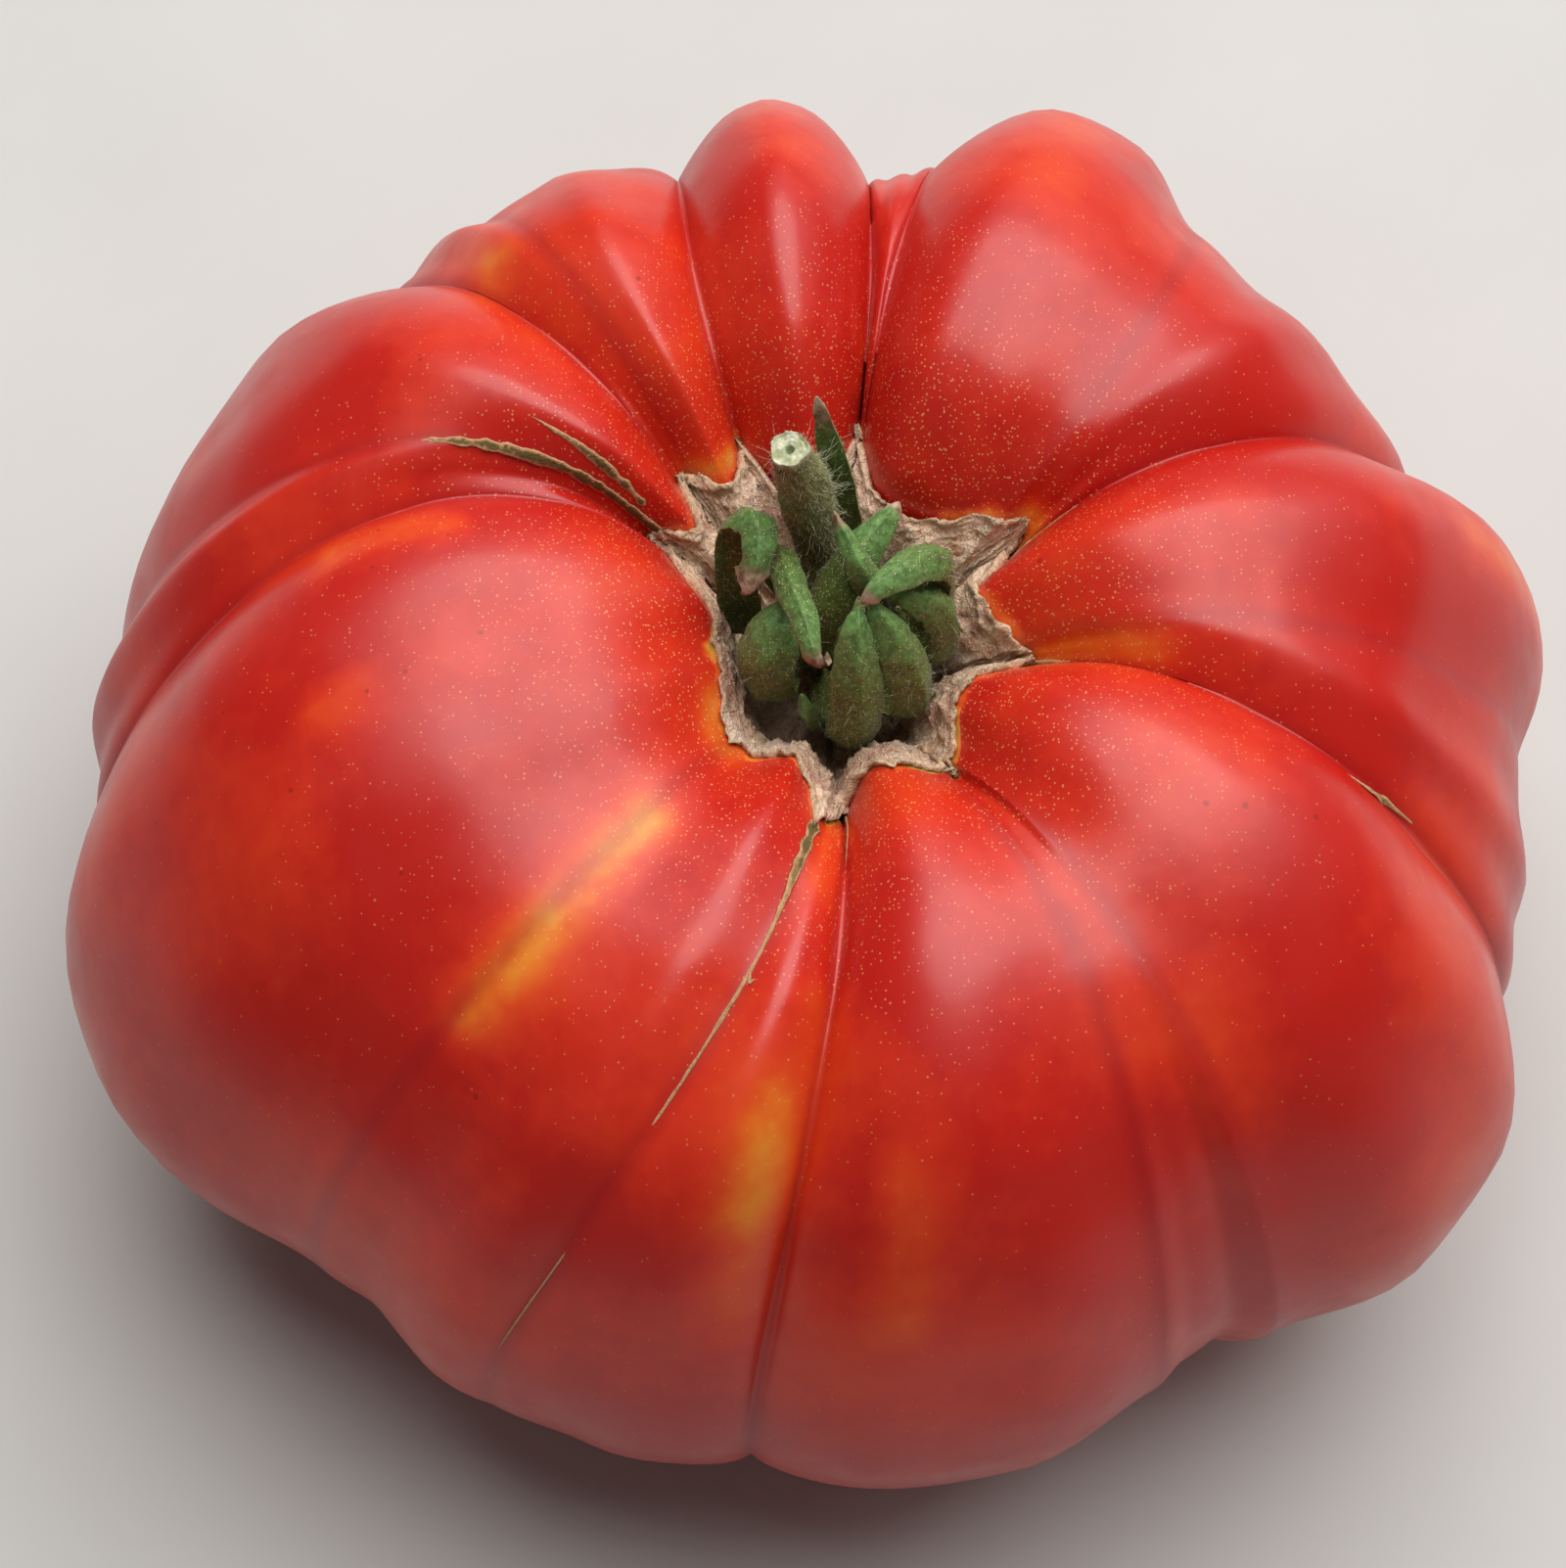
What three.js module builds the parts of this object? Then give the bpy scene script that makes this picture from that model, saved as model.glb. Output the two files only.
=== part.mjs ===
// A large ribbed beefsteak tomato, as picked: the fruit, the cut stem that stands in its
// stem hollow, and the sepals of the calyx that curl up and over the hollow.
// Millimetres, +Z up. The origin is under the middle of the fruit, on the surface it stands on.

import * as THREE from 'three';

// ---- Driving dimensions -------------------------------------------------------------------

// Half of the fruit's section, from the floor of the stem hollow, over the shoulder and round
// the side to the middle of the underside: [distance from the stem axis, height].
const PROFILE = [
  [0, 50], [7, 50.5], [12, 55], [17, 63], [26, 69.5], [38, 70.5], [50, 64],
  [60, 50], [64, 34], [59, 16], [47, 4], [33, -0.8], [20, -0.6], [8, 2], [0, 2.5],
];
const LAST = PROFILE.length - 1;
const EQUATOR_RADIUS = 64;

// Stations are places along the profile, counted in its points.
const LIP_STATION = 2.5; // where the hollow's wall meets the shoulder
const EQUATOR_STATION = 8;
const FULL_SPREAD_RADIUS = 45; // nearer the stem than this, a furrow's slope narrows

// The furrows, anticlockwise from +X as seen from above. Each runs from an angle at the lip of
// the hollow to an angle at the equator, and has a depth on the shoulder, on the side and at
// the foot, the width of skin that slopes down to it, and how tight its crease is (0 to 1).
const FURROWS = [
  { lip: -7, side: -2, depth: [1.6, 2.8, 2], spread: 14, tight: 0.1 },
  { lip: 27, side: 22, depth: [6, 4, 2], spread: 13, tight: 0.6 },
  { lip: 34, side: 55, depth: [2, 2.4, 2], spread: 16, tight: 0.1 },
  { lip: 81, side: 78, depth: [6, 4, 2], spread: 11, tight: 0.6 },
  { lip: 82, side: 86, depth: [8, 5, 2], spread: 13, tight: 0.7 },
  { lip: 113, side: 104, depth: [6, 4.5, 2], spread: 13, tight: 0.6 },
  { lip: 128, side: 125, depth: [1.5, 1.3, 0.8], spread: 10, tight: 0.2 },
  { lip: 132, side: 136, depth: [5, 3, 2], spread: 13, tight: 0.5 },
  { lip: 147, side: 174, depth: [1.8, 1.3, 0.8], spread: 10, tight: 0.2 },
  { lip: 151, side: 187, depth: [4.5, 3, 1.5], spread: 14, tight: 0.5 },
  { lip: 234, side: 227, depth: [3, 4.5, 2.5], spread: 24, tight: 0.05 },
  { lip: 268, side: 244, depth: [2.6, 0.8, 0.9], spread: 11, tight: 0.3 },
  { lip: 274, side: 264, depth: [5.5, 2.6, 1.8], spread: 12, tight: 0.7 },
  { lip: 305, side: 296, depth: [2, 1.1, 0.8], spread: 13, tight: 0.1 },
  { lip: 309, side: 306, depth: [2.4, 1.7, 1.4], spread: 15, tight: 0.1 },
  { lip: 349, side: 338, depth: [5, 3, 1.5], spread: 13, tight: 0.5 },
];

// Lobe k lies between furrow k and the next. reach is its radius at the equator, and lean is
// how far its inner end leans out of (+) or over (-) the stem hollow.
const LOBES = [
  { reach: 65.5, lean: -3.5 },
  { reach: 58, lean: 1 },
  { reach: 66, lean: -2 },
  { reach: 57, lean: -2 },
  { reach: 63, lean: -0.5 },
  { reach: 58.5, lean: 0 },
  { reach: 60.5, lean: 1 },
  { reach: 64, lean: -2 },
  { reach: 66, lean: 0 },
  { reach: 70, lean: -7 },
  { reach: 67, lean: -4.5 },
  { reach: 65, lean: -1 },
  { reach: 66, lean: -3 },
  { reach: 63.5, lean: -1 },
  { reach: 69, lean: -4 },
  { reach: 63, lean: -2.5 },
];

// How each effect grows and fades along the profile: [station, share].
const DEPTH_STATIONS = [0, 1, 2.5, 5, 8, 10.5, 12, 13.2, 14];
const LEAN_ALONG = [[0, 0], [1, 0], [2, 0.5], [3, 1], [4, 0.8], [6, 0.2], [8, 0]];

// The fruit's mesh: rows from the hollow's floor to the underside, columns in each lobe.
const ROWS = 38;
const COLUMNS_PER_LOBE = 6;

// The stem: [x, y, height, radius] up its length, from the flared base to the cut end.
const STEM = [
  [0.4, 4, 51.7, 3.7], [0.4, 4.2, 53.4, 3.3], [0, 5, 56, 2.1], [-0.6, 6.1, 60, 1.95],
  [-1.1, 6.6, 65, 2.1], [-1.7, 6.7, 70, 2.4], [-2.2, 6.4, 75, 2.35], [-2.9, 6.1, 79, 1.9],
  [-3.3, 6, 81.2, 1.45],
];
const STEM_SIDES = 14;
const STEM_STEPS = 20;

// The sepals. Each grows from the side of the stem's base at the angle root and follows its
// path of [x, y, height]. width is its greatest width, and side is the angle it points at.
const ROOT_RING = { x: 0.4, y: 3.7, radius: 4.5, height: 52.6 };
const SEPALS = [
  { name: 'sepal_right_upper', root: 5, side: 120, width: 3.2,
    path: [[7.8, 3, 56], [9.4, 2.2, 62], [9.2, 1.8, 68], [8.3, 1.2, 71.5], [6.5, -0.1, 73.4],
      [4.3, -2.2, 74.2], [2.5, -3.5, 73.4]] },
  { name: 'sepal_small', root: 35, side: 30, width: 2.2,
    path: [[5, 3.4, 58], [4.6, 1, 64], [3.5, -0.2, 69], [2.2, 0.9, 71.6], [1.3, 2.6, 72.4],
      [0.6, 3.9, 72.6]] },
  { name: 'sepal_back', root: 80, side: 170, width: 2.5,
    path: [[1.9, 8.6, 57], [1.7, 9.3, 63], [0.9, 9.9, 69], [0.1, 10.5, 74], [-0.9, 11.5, 79]] },
  { name: 'sepal_slim', root: 135, side: 200, width: 2.3,
    path: [[-4, 5.6, 59], [-4.6, 4.8, 65], [-4, 2.4, 69.8], [-3.2, -1.1, 71.6], [-2, -4.9, 72.5],
      [-1.4, -7.6, 71.6]] },
  { name: 'sepal_left', root: 172, side: 190, width: 2.9,
    path: [[-6.6, 3, 56], [-7.5, 3, 61], [-7.7, 4, 66], [-7.3, 5.2, 70.6], [-6, 4.6, 72.9],
      [-5.3, 2, 72.6], [-6, -0.4, 71]] },
  { name: 'sepal_lower_left', root: 208, side: 335, width: 4.8,
    path: [[-5, -1.8, 55.4], [-5.5, -4.6, 58.8], [-5.8, -5.2, 62.6], [-5.7, -4.8, 65.8],
      [-5.2, -3.4, 67.6], [-5.3, -2.1, 67.2]] },
  { name: 'sepal_diagonal', root: 234, side: 320, width: 3.5,
    path: [[-1.6, -0.9, 57], [-1.6, -1.2, 62], [-0.4, -0.3, 66.6], [1.4, 1.7, 68.6],
      [3.1, 3.6, 69.6], [5.4, 6.6, 69.6]] },
  { name: 'sepal_spur', root: 258, side: 348, width: 1.8,
    path: [[-0.7, -4.6, 54.6], [-1.3, -7, 57.6], [-1.9, -7.6, 61.5], [-2, -7, 64.5]] },
  { name: 'sepal_front', root: 283, side: 10, width: 4.2,
    path: [[1.9, -5.2, 54.2], [2.1, -8.2, 57.4], [2.5, -8.8, 62], [2.4, -7.4, 67],
      [2.1, -5.4, 70.4], [2.2, -3.7, 71.7]] },
  { name: 'sepal_front_right', root: 311, side: 40, width: 3.8,
    path: [[5.4, -3.6, 55], [7.2, -6.2, 59], [7.4, -6.2, 64], [6.2, -5.3, 68], [4.7, -4, 70.2],
      [3.5, -2.8, 70.2]] },
  { name: 'sepal_right', root: 339, side: 66, width: 3.5,
    path: [[7.4, -0.6, 55.6], [9.6, -1.6, 60], [9.8, -1.5, 65], [8.4, -1.3, 68.4],
      [6.2, -1.3, 69.6]] },
];
const SEPAL_THICKNESS = 0.8;
const SEPAL_CUP = 0.25; // how far its edges curl towards the stem, as a share of half its width
// Half a sepal's width at places along it, as a share of its greatest: [place, share].
const SEPAL_OUTLINE = [[0, 0.3], [0.15, 0.6], [0.35, 1], [0.6, 0.95], [0.82, 0.65], [1, 0.3]];
const SEPAL_SIDES = 8;
const SEPAL_STEPS = 14;

// ---- Helpers ------------------------------------------------------------------------------

const rad = THREE.MathUtils.degToRad;
const smooth = THREE.MathUtils.smoothstep;

// The value at x on a line of straight pieces through [place, value] points.
function alongLine(points, x) {
  const next = points.findIndex(([place]) => place >= x);
  if (next <= 0) return points[next === 0 ? 0 : points.length - 1][1];
  const [x0, y0] = points[next - 1];
  const [x1, y1] = points[next];
  return THREE.MathUtils.mapLinear(x, x0, x1, y0, y1);
}

function levelDirection(degrees) {
  return new THREE.Vector3(Math.cos(rad(degrees)), Math.sin(rad(degrees)), 0);
}

// A geometry with positions only, whose vertices place(vertex, number) has moved.
function reshape(geometry, place) {
  geometry.deleteAttribute('normal');
  geometry.deleteAttribute('uv');
  const position = geometry.getAttribute('position');
  const vertex = new THREE.Vector3();
  for (let i = 0; i < position.count; i++) {
    vertex.fromBufferAttribute(position, i);
    place(vertex, i);
    position.setXYZ(i, vertex.x, vertex.y, vertex.z);
  }
  return geometry;
}

// ---- The fruit ----------------------------------------------------------------------------

const profile = new THREE.SplineCurve(PROFILE.map(([r, z]) => new THREE.Vector2(r, z)));

// How far the skin has dropped at x, from 0 in the furrow to 1 where its slope ends. A loose
// furrow has a soft round bottom, and a tight one is a sharp fold between round lobes.
function furrowShape(x, tight) {
  const soft = 0.01 + 0.35 * (1 - tight) ** 2;
  const near = (Math.hypot(THREE.MathUtils.clamp(x, 0, 1), soft) - soft) / (Math.hypot(1, soft) - soft);
  const left = 1 - near;
  const loose = left * left * (1 + near / 2);
  const fold = 1 - Math.sqrt(1 - left * left);
  return THREE.MathUtils.lerp(loose, fold, tight);
}

function furrowDepth(furrow, station) {
  const [shoulder, side, foot] = furrow.depth;
  const depths = [0, 0, 0.7 * shoulder, shoulder, side, foot, 0.6 * foot, 0, 0];
  return alongLine(DEPTH_STATIONS.map((place, i) => [place, depths[i]]), station);
}

function furrowAngle(number, station) {
  const furrow = FURROWS[(number + FURROWS.length) % FURROWS.length];
  const turns = Math.floor(number / FURROWS.length);
  const across = smooth(station, LIP_STATION, EQUATOR_STATION);
  return THREE.MathUtils.lerp(furrow.lip, furrow.side, across) + 360 * turns;
}

// A lobe's value at its middle, and the mean of two lobes' at the furrow between them.
function acrossLobes(key, lobe, across) {
  const count = LOBES.length;
  const neighbour = across < 0.5 ? (lobe + count - 1) % count : (lobe + 1) % count;
  const edge = (LOBES[lobe][key] + LOBES[neighbour][key]) / 2;
  const share = smooth(across < 0.5 ? 2 * across : 2 - 2 * across, 0, 0.7);
  return THREE.MathUtils.lerp(edge, LOBES[lobe][key], share);
}

// The point of the skin at a column and a place t (0 to 1) along the profile.
function skinPoint(column, t, vertex) {
  const lobe = Math.floor(column / COLUMNS_PER_LOBE) % LOBES.length;
  const across = (column % COLUMNS_PER_LOBE) / COLUMNS_PER_LOBE;
  const station = t * LAST;
  const { x: radius, y: height } = profile.getPoint(t);
  const { x: runOut, y: runUp } = profile.getTangent(t);

  const start = furrowAngle(lobe, station);
  const end = furrowAngle(lobe + 1, station);
  const angle = THREE.MathUtils.lerp(start, end, across);

  // The lobe's own two furrows and the next ones out lower the skin, the nearest most.
  let powers = 0;
  for (let number = lobe - 1; number <= lobe + 2; number++) {
    const furrow = FURROWS[(number + FURROWS.length) % FURROWS.length];
    const distance = rad(Math.abs(angle - furrowAngle(number, station))) * Math.max(radius, 6);
    const slope = furrow.spread * THREE.MathUtils.clamp(radius / FULL_SPREAD_RADIUS, 0.2, 1);
    powers += (furrowDepth(furrow, station) * furrowShape(distance / slope, furrow.tight)) ** 4;
  }
  const drop = powers ** 0.25;

  const reach = acrossLobes('reach', lobe, across) / EQUATOR_RADIUS;
  const widen = THREE.MathUtils.lerp(1, reach, smooth(station, 3, EQUATOR_STATION));
  const lean = acrossLobes('lean', lobe, across) * alongLine(LEAN_ALONG, station);
  const out = Math.max(radius * widen + lean + drop * runUp, 0);
  const up = Math.max(height - drop * runOut, 0);
  vertex.set(out * Math.cos(rad(angle)), out * Math.sin(rad(angle)), up);
}

function fruitGeometry() {
  const columns = LOBES.length * COLUMNS_PER_LOBE;
  const sphere = new THREE.SphereGeometry(1, columns, ROWS);
  return reshape(sphere, (vertex, i) => {
    const row = Math.floor(i / (columns + 1));
    skinPoint(i % (columns + 1), row / ROWS, vertex);
  });
}

// ---- The stem and the sepals --------------------------------------------------------------

// A cylinder bent along a curve. section(s), s from 0 to 1 along it, gives half its width, half
// its thickness and how far its edges drop behind its middle. side is where its width points.
function bentRod(curve, side, section, sides, steps) {
  const rod = new THREE.CylinderGeometry(1, 1, 1, sides, steps);
  return reshape(rod, (vertex) => {
    const s = vertex.y + 0.5;
    const { halfWidth, halfThickness, cup } = section(s);
    const tangent = curve.getTangent(s);
    const across = side.clone().addScaledVector(tangent, -side.dot(tangent)).normalize();
    const outward = new THREE.Vector3().crossVectors(across, tangent);
    const lift = halfThickness * vertex.z - cup * vertex.x ** 2;
    const breadth = halfWidth * vertex.x;
    vertex.copy(curve.getPoint(s)).addScaledVector(across, breadth).addScaledVector(outward, lift);
  });
}

function stemGeometry() {
  const points = STEM.map(([x, y, z]) => new THREE.Vector3(x, y, z));
  const radii = STEM.map((point, i) => [i / (STEM.length - 1), point[3]]);
  const section = (s) => {
    const radius = alongLine(radii, s);
    return { halfWidth: radius, halfThickness: radius, cup: 0 };
  };
  const curve = new THREE.CatmullRomCurve3(points);
  return bentRod(curve, levelDirection(0), section, STEM_SIDES, STEM_STEPS);
}

function sepalGeometry({ root, side, width, path }) {
  const start = new THREE.Vector3(ROOT_RING.x, ROOT_RING.y, ROOT_RING.height);
  start.addScaledVector(levelDirection(root), ROOT_RING.radius);
  const curve = new THREE.CatmullRomCurve3([start, ...path.map((p) => new THREE.Vector3(...p))]);
  const section = (s) => {
    const halfWidth = (width / 2) * alongLine(SEPAL_OUTLINE, s);
    const halfThickness = Math.min(SEPAL_THICKNESS / 2, halfWidth);
    return { halfWidth, halfThickness, cup: SEPAL_CUP * halfWidth };
  };
  return bentRod(curve, levelDirection(side), section, SEPAL_SIDES, SEPAL_STEPS);
}

// ---- The tomato ---------------------------------------------------------------------------

const RED = new THREE.MeshStandardMaterial({ color: 0xc3210f, roughness: 0.25, metalness: 0 });
const OLIVE = new THREE.MeshStandardMaterial({ color: 0x46552c, roughness: 0.8, metalness: 0 });
const GREEN = new THREE.MeshStandardMaterial({ color: 0x3f7a3c, roughness: 0.7, metalness: 0 });

function node(name, geometry, material) {
  const mesh = new THREE.Mesh(geometry, material);
  mesh.name = name;
  return mesh;
}

const tomato = new THREE.Group();
tomato.name = 'tomato';
tomato.add(node('fruit', fruitGeometry(), RED));
tomato.add(node('stem', stemGeometry(), OLIVE));
SEPALS.forEach((sepal) => tomato.add(node(sepal.name, sepalGeometry(sepal), GREEN)));

// The furrows are laid out round the stem, which is not quite in the middle of the fruit.
const middle = new THREE.Box3().setFromObject(tomato).getCenter(new THREE.Vector3());
tomato.children.forEach((mesh) => mesh.geometry.translate(-middle.x, -middle.y, 0));

export default tomato;
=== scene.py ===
# %% [markdown]
# # A ribbed beefsteak tomato
# The subject is one big tomato, as picked. Its skin is one closed surface with sixteen lobes,
# and a hollow on top holds the cut stem, the curled sepals and a ragged brown scar of cork.
# Every shape below is laid out round the stem's axis in millimetres and turned to metres last.

# %% Load the frame
import math

import bpy
import numpy as np
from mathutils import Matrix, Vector, noise


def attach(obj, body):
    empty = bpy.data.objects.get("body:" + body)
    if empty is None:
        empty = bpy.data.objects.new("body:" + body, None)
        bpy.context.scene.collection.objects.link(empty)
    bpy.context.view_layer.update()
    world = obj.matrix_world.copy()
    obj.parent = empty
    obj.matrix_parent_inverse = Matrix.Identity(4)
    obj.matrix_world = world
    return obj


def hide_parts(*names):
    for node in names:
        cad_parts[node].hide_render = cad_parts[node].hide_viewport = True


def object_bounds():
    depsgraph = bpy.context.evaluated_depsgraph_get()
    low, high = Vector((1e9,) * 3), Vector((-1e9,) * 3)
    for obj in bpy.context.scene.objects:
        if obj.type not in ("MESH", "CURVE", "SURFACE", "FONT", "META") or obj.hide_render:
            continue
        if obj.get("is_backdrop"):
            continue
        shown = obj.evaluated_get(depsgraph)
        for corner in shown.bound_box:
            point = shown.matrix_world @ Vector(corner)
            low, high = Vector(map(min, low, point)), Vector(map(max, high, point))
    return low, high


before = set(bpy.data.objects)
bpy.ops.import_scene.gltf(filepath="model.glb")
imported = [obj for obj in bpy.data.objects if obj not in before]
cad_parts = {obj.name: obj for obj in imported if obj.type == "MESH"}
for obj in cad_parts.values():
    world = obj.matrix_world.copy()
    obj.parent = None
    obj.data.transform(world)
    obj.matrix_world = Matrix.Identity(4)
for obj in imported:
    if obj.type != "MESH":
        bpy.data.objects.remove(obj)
cad_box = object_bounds()
print("nodes:", ", ".join(sorted(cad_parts)))
print("box of the whole object:", [[round(v, 4) for v in corner] for corner in cad_box])

# %% [markdown]
# ## Two small helpers
# An operator acts on everything that is selected, so each one starts from nothing selected.
# A primitive gives a mesh with a clean grid of faces. Its points are then moved by a formula,
# which gives furrows and folds that no single operator has.

# %% Helpers for making and finishing pieces
STEM_AXIS = np.array([0.9, 1.46, 0.0])  # where the stem's axis stands in the frame, in mm


def deselect_all():
    bpy.ops.object.select_all(action="DESELECT")


def polar_grid(name, segments, rings):
    """A UV sphere, with the column and the row from the top of each of its points."""
    deselect_all()
    bpy.ops.mesh.primitive_uv_sphere_add(segments=segments, ring_count=rings, radius=1)
    piece = bpy.context.object
    piece.name = piece.data.name = name
    points = read_points(piece)
    turn = np.arctan2(points[:, 1], points[:, 0]) / (2 * math.pi)
    column = np.rint(turn * segments) % segments
    row = np.rint(np.arccos(np.clip(points[:, 2], -1, 1)) / math.pi * rings)
    return piece, column, row


def read_points(piece):
    points = np.empty(len(piece.data.vertices) * 3, np.float32)
    piece.data.vertices.foreach_get("co", points)
    return points.reshape(-1, 3).astype(float)


def place_points(piece, millimetres):
    """Moves the piece's points, given in millimetres from the stem's axis, into the frame."""
    metres = (millimetres + STEM_AXIS) / 1000
    piece.data.vertices.foreach_set("co", metres.astype(np.float32).ravel())
    piece.data.update()


def store(piece, name, values):
    """Keeps one number for each point of the piece, for its material to read."""
    attribute = piece.data.attributes.new(name, "FLOAT", "POINT")
    attribute.data.foreach_set("value", np.asarray(values, np.float32))


def finish_piece(piece, material, slot, *nodes):
    """Smooths and paints a piece, and ties it to the frame."""
    deselect_all()
    piece.select_set(True)
    bpy.context.view_layer.objects.active = piece
    bpy.ops.object.shade_smooth()
    piece.data.materials.clear()
    piece.data.materials.append(material)
    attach(piece, "root")
    if nodes:
        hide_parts(*nodes)
    faces = sum(len(face.vertices) - 2 for face in piece.data.polygons)
    size = [round(1000 * v, 1) for v in piece.dimensions]
    print(f"{piece.name}: {faces} triangles, {size} mm")


# %% [markdown]
# ## The camera
# The camera looks down at the fruit from its front, 67 degrees above the floor and 340 mm away,
# so that the stem hollow, the shoulders and the front furrows all show. A long lens keeps the
# near lobes from swelling.

# %% Camera
ELEVATION = math.radians(67)
DISTANCE = 0.34  # metres
target = Vector((-0.0029, -0.0012, 0.034))
back = Vector((0, -math.cos(ELEVATION), math.sin(ELEVATION)))
camera_data = bpy.data.cameras.new("camera")
camera_data.lens = 87.2
camera_data.clip_start = 0.01
camera = bpy.data.objects.new("camera", camera_data)
camera.location = target + back * DISTANCE
camera.rotation_euler = (-back).to_track_quat("-Z", "Y").to_euler()
bpy.context.scene.collection.objects.link(camera)
bpy.context.scene.camera = camera
print("camera at", [round(v, 3) for v in camera.location])

# %% [markdown]
# ## The shape of the skin
# A tomato's section through the stem is one smooth line: the floor of the hollow, up its wall,
# over the shoulder, round the side and in underneath. A furrow presses that line inwards, deep
# at the shoulder and shallow at the foot. Stations count along the line from 0 to 14, and lobes
# count round the fruit from 0 to 16, so any place on the skin is a lobe number and a station.

# %% The section, the furrows and the lobes
SECTION = np.array([
    [0, 50], [7, 50.5], [12, 55], [17, 63], [26, 69.5], [38, 70.5], [50, 64], [60, 50],
    [64, 34], [59, 16], [47, 4], [33, -0.8], [20, -0.6], [8, 2], [0, 2.5],
])
LAST = len(SECTION) - 1

# angle at the hollow, angle at the side, depth on shoulder, side and foot, width, tightness
FURROWS = np.array([
    [-7, -2, 1.6, 2.8, 2, 14, 0.1],
    [27, 22, 6, 4, 2, 13, 0.6],
    [34, 55, 2, 2.4, 2, 16, 0.1],
    [81, 78, 6, 4, 2, 11, 0.6],
    [82, 86, 8, 5, 2, 13, 0.7],
    [113, 104, 6, 4.5, 2, 13, 0.6],
    [128, 125, 1.5, 1.3, 0.8, 10, 0.2],
    [132, 136, 5, 3, 2, 13, 0.5],
    [147, 174, 1.8, 1.3, 0.8, 10, 0.2],
    [151, 187, 4.5, 3, 1.5, 14, 0.5],
    [234, 227, 3, 4.5, 2.5, 24, 0.05],
    [268, 244, 2.6, 0.8, 0.9, 11, 0.3],
    [274, 264, 5.5, 2.6, 1.8, 12, 0.7],
    [305, 296, 2, 1.1, 0.8, 13, 0.1],
    [309, 306, 2.4, 1.7, 1.4, 15, 0.1],
    [349, 338, 5, 3, 1.5, 13, 0.5],
])
LOBES = len(FURROWS)

MIDDLE_RADIUS = 64  # the section's own radius at the side, in mm
FULL_SPREAD_RADIUS = 45  # a furrow narrows where the section's radius is less than this

# radius at the side, and how far the inner end leans out of or over the hollow
REACH = np.array([65.5, 58, 66, 57, 63, 58.5, 60.5, 64, 66, 70, 67, 65, 66, 63.5, 69, 63])
LEAN = np.array([-3.5, 1, -2, -2, -0.5, 0, 1, -2, 0, -7, -4.5, -1, -3, -1, -4, -2.5])
print(LOBES, "lobes,", LAST, "stations")


# %% A point of the skin
def smoothstep(x, low, high):
    t = np.clip((x - low) / (high - low), 0, 1)
    return t * t * (3 - 2 * t)


def curve_through(points, x):
    """A smooth curve through the points, and how it runs, at x counted in points."""
    last = len(points) - 1
    i = np.minimum(x.astype(int), last - 1)
    w = (x - i)[..., None]
    a, b = points[np.maximum(i - 1, 0)], points[i]
    c, d = points[i + 1], points[np.minimum(i + 2, last)]
    v, k = (c - a) / 2, (d - b) / 2
    point = (2 * b - 2 * c + v + k) * w**3 + (3 * c - 3 * b - 2 * v - k) * w**2 + v * w + b
    run = 3 * (2 * b - 2 * c + v + k) * w**2 + 2 * (3 * c - 3 * b - 2 * v - k) * w + v
    return point, run


def along_section(station):
    """The section's radius and height at a station, and the way that it runs there."""
    point, run = curve_through(SECTION, np.clip(station, 0, LAST))
    return point, run / (np.linalg.norm(run, axis=-1, keepdims=True) + 1e-9)


def furrow_shape(x, tight):
    """1 in the furrow, 0 where its slope ends. A tight furrow is a fold, a loose one a dip."""
    soft = 0.01 + 0.35 * (1 - tight) ** 2
    near = (np.hypot(np.clip(x, 0, 1), soft) - soft) / (np.hypot(1, soft) - soft)
    left = 1 - near
    dip = left**2 * (1 + near / 2)
    fold = 1 - np.sqrt(1 - left**2)
    return (1 - tight) * dip + tight * fold


def furrow_depth(furrow, station):
    shoulder = np.interp(station, [1, 2.5, 5, 8], [0, 0.7, 1, 0])
    side = np.interp(station, [5, 8, 10.5], [0, 1, 0])
    foot = np.interp(station, [8, 10.5, 12, 13.2], [0, 1, 0.6, 0])
    depth = FURROWS[furrow, 2] * shoulder + FURROWS[furrow, 3] * side
    return depth + FURROWS[furrow, 4] * foot


def furrow_angle(number, station):
    lip, side = FURROWS[number % LOBES, 0], FURROWS[number % LOBES, 1]
    return lip + (side - lip) * smoothstep(station, 2.5, 8) + 360 * (number // LOBES)


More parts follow.
